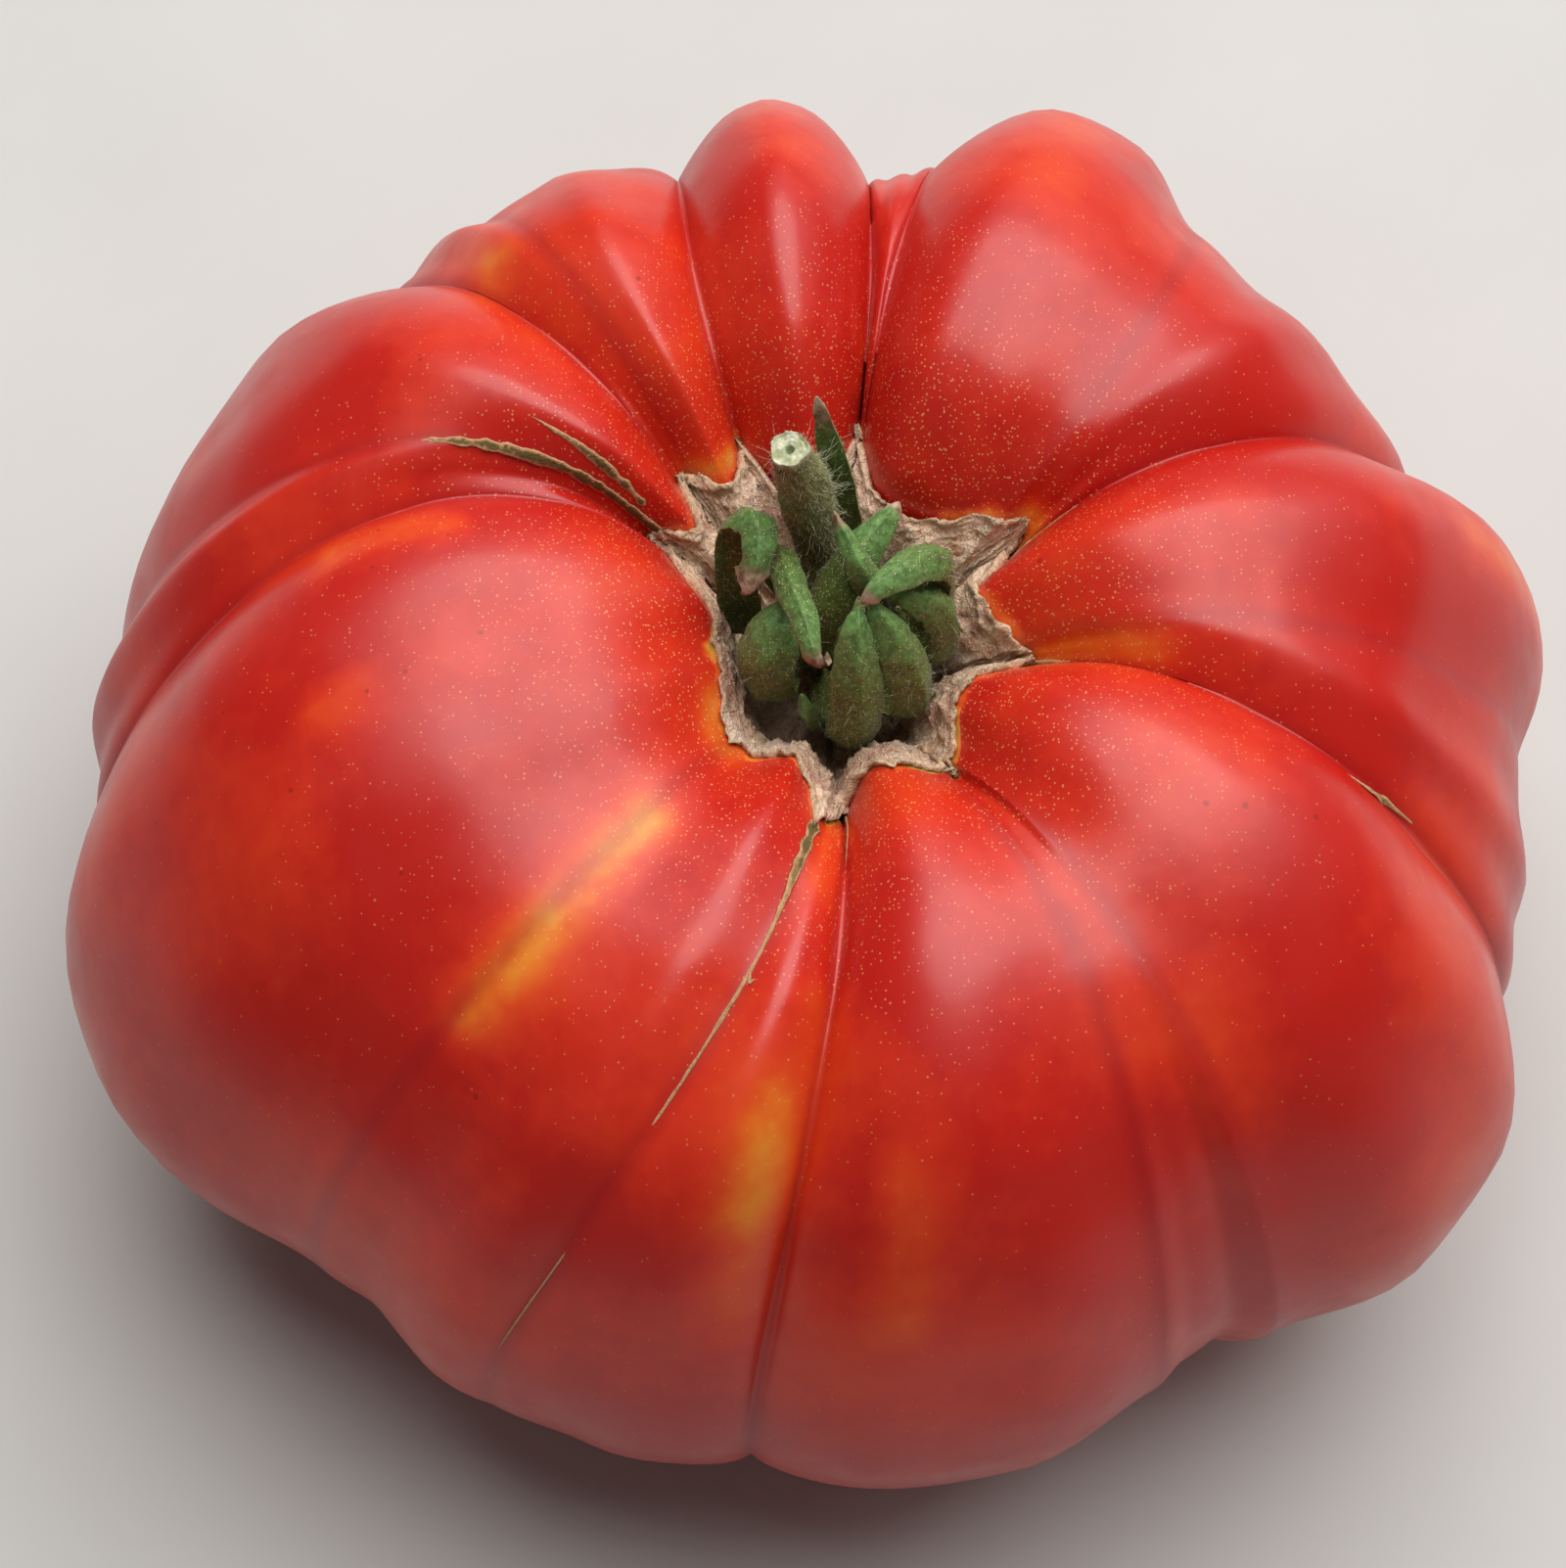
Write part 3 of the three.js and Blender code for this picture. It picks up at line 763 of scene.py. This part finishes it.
store(blossom_scar, "from_edge", (1 - share) * 5)
store_weave(blossom_scar, scar_mm * 0.8)
finish_piece(blossom_scar, cork_paint, "stem")

# %% [markdown]
# ## The cut stem
# The stem stands in the hollow on a flared base. It is a little knotted half way up, ridged
# along its length, and cut across at the top, where pale wood rings a small hole of pith.

# %% Stem shape
# points up its middle, and its radius there
STEM = np.array([
    [0.4, 4, 51.4, 3.9], [0.4, 4.2, 53.4, 3.2], [0, 5, 56, 2.0], [-0.6, 6.1, 60, 1.75],
    [-1.1, 6.6, 65, 1.9], [-1.7, 6.7, 70, 2.2], [-2.2, 6.4, 75, 2.2], [-2.9, 6.1, 79, 1.85],
    [-3.3, 6, 81.2, 1.5],
])
STEM_COLUMNS = 48
STEM_ROWS = 120
CUT_ROWS = 18  # rows on the cut face
FOOT_ROWS = 6  # rows that close the foot
stem, column, row = polar_grid("cut_stem", STEM_COLUMNS, STEM_ROWS)
curve, run, length = smooth_path(STEM[:, :3], 101)
side = across_path(run, level(0))
inner = np.cross(run, side)
down = np.clip((row - CUT_ROWS) / (STEM_ROWS - CUT_ROWS - FOOT_ROWS), 0, 1)
step = np.rint((1 - down) * 100).astype(int)
radius = np.interp(step / 100, np.linspace(0, 1, len(STEM)), STEM[:, 3])
turn = column / STEM_COLUMNS * 2 * math.pi
ridges = 1 + 0.035 * np.cos(5 * turn + 4 * down) + 0.02 * np.cos(3 * turn - 7 * down)
inward = np.clip(row / CUT_ROWS, 0, 1)
closing = np.clip((STEM_ROWS - row) / FOOT_ROWS, 0, 1)
spin = np.stack([np.cos(turn), np.sin(turn), 0 * turn], -1)
face = np.where(row < CUT_ROWS, inward**0.8, 1.0) * closing**0.5
from_middle = face * radius
ragged = uneven(spin * 3 + down[:, None] * 9, 0.5, 1.0)
dip = np.where(row < CUT_ROWS, -0.9 * np.exp(-((from_middle / 0.32) ** 4)), 0)
dip += np.where(row < CUT_ROWS, 0.16 * uneven(spin * from_middle[:, None], 0.35, 2.0), 0)
rim = np.exp(-(((row - CUT_ROWS) / 2.0) ** 2)) * (0.16 + 0.5 * np.maximum(ragged, 0))
out = from_middle * ridges * (1 + 0.04 * ragged)
stem_mm = curve[step] + side[step] * (np.cos(turn) * out)[:, None]
stem_mm += inner[step] * (np.sin(turn) * out)[:, None]
stem_mm += run[step] * (dip + rim)[:, None]
stem_mm += spin * (0.12 * uneven(stem_mm, 0.9, 3.0) * (row > CUT_ROWS))[:, None]
place_points(stem, stem_mm)
store(stem, "cut", np.clip(1 - (row - CUT_ROWS) / 3, 0, 1))
store(stem, "from_middle", from_middle)
store(stem, "down", down)

# %% [markdown]
# ## The sepals
# Eleven fleshy green sepals grow from the stem's base, lie along the floor of the hollow, and
# curl up and over it. Each is a blade that is broad in the middle, cupped along its length and
# dry and pinched at its tip. Some of them end in a small dry hook.

# %% Sepal shapes
# root angle, angle that the width points at, width, dry share, flare of the dry end, and the
# points along it, all in mm and degrees
SEPALS = {
    "sepal_right_upper": (5, 120, 3.9, 0.045, 0.2, [
        [7.8, 3, 56], [9.4, 2.2, 62], [9.6, 1.9, 68], [8.8, 1.3, 71.6], [6.7, -0.1, 73.4],
        [4.4, -2.1, 74.2], [2.9, -3.3, 73.8], [2.4, -3.7, 73.1]]),
    "sepal_small": (35, 30, 2.7, 0.06, 0.0, [
        [5, 3.4, 58], [4.6, 1, 64], [3.5, -0.2, 69], [2.2, 0.9, 71.6], [1.3, 2.6, 72.4],
        [0.6, 4.0, 72.9], [0.3, 4.9, 72.9]]),
    "sepal_back": (80, 170, 2.6, 0.12, 0.0, [
        [1.9, 8.6, 57], [1.7, 9.3, 63], [0.9, 9.9, 69], [0.1, 10.5, 74], [-0.7, 11.3, 78],
        [-1.2, 11.7, 79.6]]),
    "sepal_slim": (135, 200, 2.8, 0.08, 0.1, [
        [-4, 5.6, 59], [-4.6, 4.8, 65], [-4, 2.4, 69.8], [-3.2, -1.1, 71.6], [-2, -4.9, 72.3],
        [-1.4, -7.3, 71.8], [-0.9, -7.9, 71.0], [-0.3, -7.6, 70.9], [-0.3, -7.0, 71.4]]),
    "sepal_left": (172, 190, 3.6, 0.09, 0.6, [
        [-6.6, 3, 56], [-7.5, 3, 61], [-7.9, 4, 66], [-7.4, 5.1, 70.4], [-6.2, 4.2, 72.9],
        [-5.7, 1.9, 72.9], [-6.1, -0.3, 71.4], [-6.7, -1.2, 70.2], [-7.2, -1.2, 69.9]]),
    "sepal_lower_left": (208, 335, 5.3, 0.0, 0.0, [
        [-5, -1.8, 55.4], [-5.5, -4.9, 58.8], [-5.8, -5.8, 62.6], [-5.4, -5.2, 65.8],
        [-4.6, -3.2, 67.9], [-3.6, -1.4, 67.9], [-2.9, -0.6, 66.6]]),
    "sepal_diagonal": (234, 320, 4.0, 0.05, 0.3, [
        [-1.6, -0.9, 57], [-1.6, -1.2, 62], [-0.4, -0.3, 66.6], [1.4, 1.7, 68.8],
        [3.1, 3.6, 70.0], [5.0, 6.0, 70.3], [5.7, 7.2, 70.0]]),
    "sepal_spur": (258, 348, 1.8, 0.0, 0.0, [
        [-0.7, -4.6, 54.6], [-1.3, -7, 57.6], [-1.9, -7.6, 61.0], [-2.3, -7.2, 63.6]]),
    "sepal_front": (283, 10, 4.6, 0.0, 0.0, [
        [1.9, -5.2, 54.2], [2.1, -8.6, 57.4], [2.4, -9.4, 62], [2.3, -7.9, 67],
        [2.1, -5.5, 70.6], [2.3, -3.4, 72.3]]),
    "sepal_front_right": (311, 40, 4.3, 0.0, 0.0, [
        [5.4, -3.6, 55], [7.2, -6.4, 59], [7.3, -6.9, 64], [6.0, -5.8, 68.2], [4.4, -4.1, 70.9],
        [3.0, -2.7, 71.9]]),
    "sepal_right": (339, 64, 4.2, 0.0, 0.0, [
        [7.4, -0.6, 55.6], [9.6, -1.6, 60], [9.9, -1.7, 65], [8.6, -1.5, 68.7],
        [6.3, -1.4, 70.3], [4.4, -1.2, 69.8]]),
}
ROOT_MIDDLE = np.array([0.4, 3.7, 52.6])
ROOT_RING = 3.6  # the sepals start on a ring of this radius, in mm
# share of the length from the root, share of the full width there
BLADE = np.array([
    [0, 0.5], [0.12, 0.8], [0.28, 0.97], [0.6, 1], [0.74, 0.96], [0.84, 0.8], [0.92, 0.55],
    [0.97, 0.34], [1, 0.2],
])
SEPAL_COLUMNS = 32
SEPAL_ROWS = 90


def sepal(name, root, side_angle, width, dry_share, flare, path, seed):
    piece, column, row = polar_grid("grown_" + name, SEPAL_COLUMNS, SEPAL_ROWS)
    start = ROOT_MIDDLE + ROOT_RING * level(root)
    curve, run, length = smooth_path([start, *path], SEPAL_ROWS + 1)
    side = across_path(run, level(side_angle))
    inner = np.cross(run, side)
    step = (SEPAL_ROWS - row).astype(int)
    grown = step / SEPAL_ROWS
    turn = column / SEPAL_COLUMNS * 2 * math.pi
    x, y = np.cos(turn), np.sin(turn)
    closing = np.sqrt(np.clip(np.minimum(grown, 1 - grown) * 30, 0, 1))
    half = width / 2 * np.interp(grown, BLADE[:, 0], BLADE[:, 1])
    dry = smoothstep(grown, 1.0 - 1.3 * dry_share, 1.001 - 0.7 * dry_share)
    edge_noise = uneven(curve[step], 1.6, seed) * 0.10 + uneven(curve[step], 0.5, seed) * 0.04
    half *= 1 + edge_noise * np.sign(x) + dry * (flare + 0.3 * uneven(curve[step], 0.5, seed))
    thick = np.minimum(0.55 * (1 - 0.5 * dry), 0.8 * half) * (1 - 0.4 * np.abs(x) ** 3)
    midrib = 0.26 * np.exp(-((x / 0.16) ** 2)) * (y < 0)
    midrib -= 0.12 * np.exp(-((x / 0.3) ** 2)) * (y > 0)
    cup = half * (0.45 + 0.4 * dry) * x**2 * (1 + 0.5 * uneven(curve[step], 2.5, seed + 4))
    lift = thick * y + cup - midrib * (1 - dry)
    points = curve[step] + side[step] * (half * x * closing)[:, None]
    points += inner[step] * (lift * closing)[:, None]
    bumps = uneven(points, 1.6, seed + 1) * 0.22
    bumps += uneven(points, 0.5, seed + 2) * (0.05 + 0.16 * dry)
    points += inner[step] * (bumps * closing)[:, None]
    place_points(piece, points)
    store(piece, "grown", grown)
    store(piece, "dry", dry)
    store(piece, "from_midrib", x)
    return piece


sepals = {
    name: sepal(name, *facts, seed=3.0 * i)
    for i, (name, facts) in enumerate(SEPALS.items())
}
print(len(sepals), "sepals")

# %% [markdown]
# ## Green skin
# The sepals are olive and dusted with yellow grains low down, turn a fresh green further out,
# and end in a tan dry tip. Low down, in the hollow, the olive is also painted darker as shade,
# and further out the green is painted lighter where light falls. The stem is darker, and its
# cut face is nearly white.

# %% Sepal material
paint = Painter("sepal green")
grown = paint.stored("grown")
cells = paint.clouds(700, 4, 0.6)
patches = paint.clouds(230, 3, 0.5)
olive_shade_to_lit_green = paint.maths("MULTIPLY_ADD", paint.maths("SUBTRACT", patches, 0.5), 0.35, grown)
olive_shade_to_lit_green = paint.maths("MULTIPLY_ADD", paint.maths("SUBTRACT", cells, 0.5), 0.10, olive_shade_to_lit_green)
# painted shade and light: the ramp runs from an olive, also darkened as painted shade low in the
# hollow, to a fresh green, also lightened as painted light further out
green = paint.ramp(
    olive_shade_to_lit_green,
    (0.10, (0.112, 0.124, 0.016)),
    (0.40, (0.120, 0.142, 0.019)),
    (0.66, (0.115, 0.195, 0.038)),
    (0.95, (0.165, 0.330, 0.092)),
)
mottled = paint.spread(paint.clouds(1500, 4, 0.65), 0.38, 0.60, 0.55, 0.0)
green = paint.blend(mottled, green, (0.04, 0.07, 0.012))
grains = paint.dots(4000, 0.27, paint.spread(grown, 0.5, 0.95, 0.95, 0.2))
green = paint.blend(paint.maths("MULTIPLY", grains, 0.75), green, (0.62, 0.58, 0.22))
straw = paint.ramp(cells, (0.4, (0.16, 0.09, 0.045)), (0.6, (0.50, 0.34, 0.24)))
green = paint.blend(paint.stored("dry"), green, straw)
veins = paint.maths("SINE", paint.maths("MULTIPLY", paint.stored("from_midrib"), 16.0))
relief = paint.bump(veins, 0.06, 0.0002)
relief = paint.bump(cells, 0.4, 0.0004, relief)
relief = paint.bump(grains, 0.4, 0.0002, relief)
sepal_paint = paint.finish(
    Base_Color=green,
    Roughness=0.55,
    Specular_IOR_Level=0.35,
    Subsurface_Weight=0.1,
    Subsurface_Radius=(0.4, 1.0, 0.2),
    Subsurface_Scale=0.001,
    Sheen_Weight=0.08,
    Sheen_Roughness=0.5,
    Normal=relief,
)
for name, piece in sepals.items():
    finish_piece(piece, sepal_paint, "sepal", name)

# %% Stem material
paint = Painter("stem green")
grain = paint.clouds(900, 5, 0.65)
patches = paint.clouds(260, 3, 0.5, stretch=(1, 1, 0.35))
tone = paint.maths("MULTIPLY_ADD", grain, 0.5, paint.maths("MULTIPLY", patches, 0.5))
green = paint.ramp(
    tone,
    (0.38, (0.095, 0.110, 0.030)),
    (0.50, (0.200, 0.225, 0.065)),
    (0.62, (0.36, 0.38, 0.14)),
)
grains = paint.dots(2600, 0.30, 0.8)
green = paint.blend(paint.maths("MULTIPLY", grains, 0.5), green, (0.42, 0.42, 0.16))
from_middle_there = paint.maths("MULTIPLY_ADD", grain, 0.5, paint.stored("from_middle"))
pith = paint.spread(from_middle_there, 0.55, 1.05, 0.0, 1.0)
wood = paint.ramp(grain, (0.38, (0.36, 0.38, 0.20)), (0.56, (0.66, 0.65, 0.46)))
wood = paint.blend(pith, (0.36, 0.39, 0.22), wood)
green = paint.blend(paint.stored("cut"), green, wood)
relief = paint.bump(tone, 0.8, 0.0006)
relief = paint.bump(grains, 0.5, 0.0002, relief)
stem_paint = paint.finish(
    Base_Color=green,
    Roughness=0.75,
    Specular_IOR_Level=0.3,
    Sheen_Weight=0.08,
    Sheen_Roughness=0.5,
    Normal=relief,
)
finish_piece(stem, stem_paint, "stem", "stem")

# %% [markdown]
# ## Hairs
# Tomato stems and sepals are hairy, and the hairs catch the light all along their outline. One
# hair is modelled as a thin three-sided cone with a ring half way up. It is then copied
# thousands of times, standing on random faces, leaning and bending at random. The stem and the
# sepals each get one mesh of short down and one of longer hairs.

# %% One hair
deselect_all()
bpy.ops.mesh.primitive_cone_add(
    vertices=3, radius1=1, radius2=0.05, depth=1, end_fill_type="NGON", location=(0, 0, 0.5)
)
hair = bpy.context.object
hair.name = "hair"
bpy.ops.object.mode_set(mode="EDIT")
bpy.ops.mesh.select_all(action="SELECT")
bpy.ops.mesh.bisect(plane_co=(0, 0, 0.5), plane_no=(0, 0, 1))
bpy.ops.object.mode_set(mode="OBJECT")
hair_points = read_points(hair)
hair_points[:, 2] += 0.5  # its own points were measured from its middle
hair_faces = [list(face.vertices) for face in hair.data.polygons]
print("one hair has", len(hair_points), "points and", len(hair_faces), "faces")

# %% Triangles in an order that never changes
def sorted_triangles(host):
    """The host's triangles sorted by place, as corners in mm, point numbers and normals."""
    host.data.calc_loop_triangles()
    index = np.empty(len(host.data.loop_triangles) * 3, np.int32)
    host.data.loop_triangles.foreach_get("vertices", index)
    index = index.reshape(-1, 3)
    corners = read_points(host)[index] * 1000
    outward = np.cross(corners[:, 1] - corners[:, 0], corners[:, 2] - corners[:, 0])

    # a primitive lists its faces and corners in an order that can change from run to run
    order = np.lexsort((corners[:, :, 2], corners[:, :, 1], corners[:, :, 0]))
    corners = np.take_along_axis(corners, order[:, :, None], 1)
    index = np.take_along_axis(index, order, 1)
    normal = np.cross(corners[:, 1] - corners[:, 0], corners[:, 2] - corners[:, 0])
    normal *= np.sign((normal * outward).sum(1))[:, None]
    order = np.lexsort(corners.reshape(-1, 9).T[::-1])
    return corners[order], index[order], normal[order]


# %% Hairs on the stem and the sepals
def grow_hairs(name, hosts, count, lengths, radius, chance, seed):
    """One mesh of hairs on the hosts. chance says where they grow, from a host's attributes."""
    rng = np.random.default_rng(seed)
    corners, normals, weights = [], [], []
    for host in hosts:
        three, index, normal = sorted_triangles(host)
        area = np.linalg.norm(normal, axis=1) + 1e-12
        corners.append(three)
        normals.append(normal / area[:, None])
        weights.append(area * chance(host)[index].mean(1))
    corners, normals, weights = map(np.concatenate, (corners, normals, weights))
    chosen = rng.choice(len(corners), count, p=weights / weights.sum())
    mix = rng.dirichlet([1, 1, 1], count)
    root = (corners[chosen] * mix[:, :, None]).sum(1)
    lean = normals[chosen] + rng.normal(0, 0.35, (count, 3))
    lean /= np.linalg.norm(lean, axis=1, keepdims=True)
    bend = rng.normal(0, 0.28, (count, 3))
    across = np.cross(lean, rng.normal(0, 1, (count, 3)))
    across /= np.linalg.norm(across, axis=1, keepdims=True)
    other = np.cross(lean, across)
    tall = rng.uniform(*lengths, count)
    thick = radius * rng.uniform(0.7, 1.3, count)
    x, y, z = (hair_points[:, axis][None, :, None] for axis in range(3))
    grown = root[:, None] + (across[:, None] * x + other[:, None] * y) * thick[:, None, None]
    grown = grown + (lean[:, None] * (z - 0.05) + bend[:, None] * z**2) * tall[:, None, None]
    first = (np.arange(count) * len(hair_points))[:, None]
    faces = [face for shape in hair_faces for face in (first + np.array(shape)).tolist()]
    mesh = bpy.data.meshes.new(name)
    mesh.from_pydata((grown.reshape(-1, 3) / 1000).tolist(), [], faces)
    piece = bpy.data.objects.new(name, mesh)
    bpy.context.scene.collection.objects.link(piece)
    store(piece, "along_hair", np.tile(hair_points[:, 2], count))
    return piece


def stored_values(piece, name):
    values = np.empty(len(piece.data.vertices), np.float32)
    piece.data.attributes[name].data.foreach_get("value", values)
    return values


def below_cut(piece):
    return (1 - stored_values(piece, "cut")) * (stored_values(piece, "down") < 0.9)


def green_part(piece):
    grown = stored_values(piece, "grown")
    return (0.35 + grown) * (grown < 0.9) * (grown > 0.2)


paint = Painter("hairs")
tips = paint.ramp(
    paint.stored("along_hair"), (0.1, (0.24, 0.27, 0.09)), (0.9, (0.80, 0.79, 0.56))
)
hair_paint = paint.finish(Base_Color=tips, Roughness=0.5, Subsurface_Weight=0.2)
green_hosts = list(sepals.values())
HAIRS = [
    # piece, slot, what it grows on, how many, lengths and radius in mm, where, seed
    ("stem_down", "stem", [stem], 3600, (0.15, 0.5), 0.026, below_cut, 3609),
    ("stem_hairs", "stem", [stem], 340, (0.8, 1.7), 0.030, below_cut, 350),
    ("sepal_down", "sepal", green_hosts, 3600, (0.12, 0.4), 0.023, green_part, 3610),
    ("sepal_hairs", "sepal", green_hosts, 520, (0.6, 1.4), 0.028, green_part, 531),
]
for name, slot, *facts in HAIRS:
    finish_piece(grow_hairs(name, *facts), hair_paint, slot)
bpy.data.objects.remove(hair)

# %% [markdown]
# ## Floor and light
# Two round lights overlap overhead, a little behind the fruit. The wide one is soft and pale at
# its edge and the smaller one brightens its middle, so the reflections on the shoulders fade
# out. A faint white world opens the shadows. The floor is large, pale and nearly even. Filmic
# tone curves wash out a deep red, so the view transform is the plain one.

# %% Floor
deselect_all()
bpy.ops.mesh.primitive_plane_add(size=4)
floor = bpy.context.object
floor.name = "floor"
paint = Painter("pale floor")
shade = paint.ramp(paint.clouds(25, 4), (0.3, (0.56, 0.545, 0.52)), (0.7, (0.59, 0.575, 0.55)))
floor.data.materials.append(paint.finish(Base_Color=shade, Roughness=0.8))
floor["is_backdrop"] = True


# %% Light
def soft_light(name, where, width, watts):
    light_data = bpy.data.lights.new(name, "AREA")
    light_data.shape = "DISK"
    light_data.size = width
    light_data.energy = watts
    light = bpy.data.objects.new(name, light_data)
    light.location = where
    light.rotation_euler = (target - Vector(where)).to_track_quat("-Z", "Y").to_euler()
    bpy.context.scene.collection.objects.link(light)


soft_light("wide overhead light", (0.30, 0.60, 1.0), 2.2, 10)
soft_light("bright overhead light", (0.16, 0.36, 1.0), 1.2, 13.0)
world = bpy.data.worlds.new("pale world")
world.use_nodes = True
background = world.node_tree.nodes["Background"].inputs
background["Color"].default_value = (1, 1, 1, 1)
background["Strength"].default_value = 0.1
bpy.context.scene.world = world
bpy.context.scene.view_settings.view_transform = "Standard"

# %% Print both boxes and finish
boxes = {"cad": cad_box, "visual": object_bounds()}
boxes = {key: [[float(v) for v in corner] for corner in box] for key, box in boxes.items()}
print(boxes)
